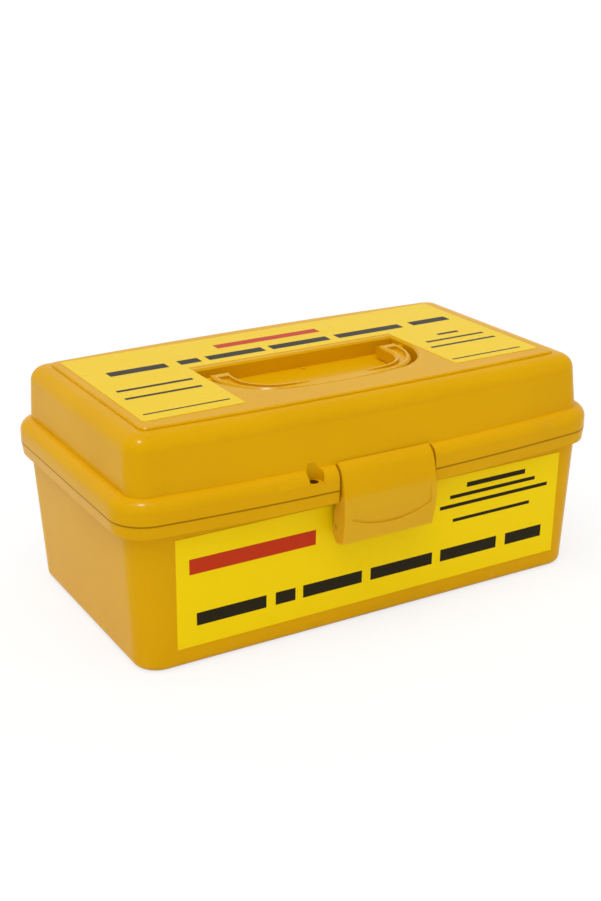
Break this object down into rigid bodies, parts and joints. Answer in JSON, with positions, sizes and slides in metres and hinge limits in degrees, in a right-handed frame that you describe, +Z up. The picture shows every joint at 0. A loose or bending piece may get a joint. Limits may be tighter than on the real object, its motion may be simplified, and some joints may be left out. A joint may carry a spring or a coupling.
{
  "type": "specimen transport box",
  "caption": "Hard plastic carry case with a drafted tub, hinged lid, bail handle in a lid recess and a wide front latch, holding a rack of screw-cap containers",
  "frame": {"origin": "centre of the flat foot, on the ground", "axes": "+X along the long side to the viewer's right, +Y from the latch to the hinge side, +Z up"},
  "size_m": [0.32, 0.2034, 0.1412],
  "materials": {
    "box_plastic": "satin moulded polypropylene",
    "pin_steel": "drawn wire",
    "label_sheet": "coated vinyl sheet",
    "pad_fabric": "pressed cellulose",
    "rack_plastic": "cut sheet",
    "cup_plastic": "milky polypropylene",
    "cap_plastic": "moulded"
  },
  "bodies": {
    "base": {"base_shell": "box_plastic", "latch_pin": "pin_steel", "hinge_pin_left": "pin_steel", "hinge_pin_right": "pin_steel", "front_label": "label_sheet", "absorbent_pad": "pad_fabric", "rack_tray": "rack_plastic", "rack_deck": "rack_plastic", "urine_cup_1": "cup_plastic", "urine_cap_1": "cap_plastic", "urine_cup_2": "cup_plastic", "urine_cap_2": "cap_plastic", "urine_cup_3": "cup_plastic", "urine_cap_3": "cap_plastic", "stool_vial_1": "cup_plastic", "stool_cap_1": "cap_plastic", "stool_vial_2": "cup_plastic", "stool_cap_2": "cap_plastic", "stool_vial_3": "cup_plastic", "stool_cap_3": "cap_plastic"},
    "lid": {"lid_shell": "box_plastic", "lid_label": "label_sheet"},
    "handle": {"carry_handle": "box_plastic"},
    "latch": {"front_latch": "box_plastic"}
  },
  "joints": [
    {"name": "lid_hinge", "type": "hinge", "parent": "base", "child": "lid", "pos_m": [0, 0.0974, 0.0929], "axis": [-1, 0, 0], "range_deg": [0, 105]},
    {"name": "handle_pivot", "type": "hinge", "parent": "lid", "child": "handle", "pos_m": [0, -0.0025, 0.1357], "axis": [-1, 0, 0], "range_deg": [0, 135]},
    {"name": "latch_pivot", "type": "hinge", "parent": "base", "child": "latch", "pos_m": [0, -0.09023, 0.0679], "axis": [1, 0, 0], "range_deg": [0, 34]}
  ]
}
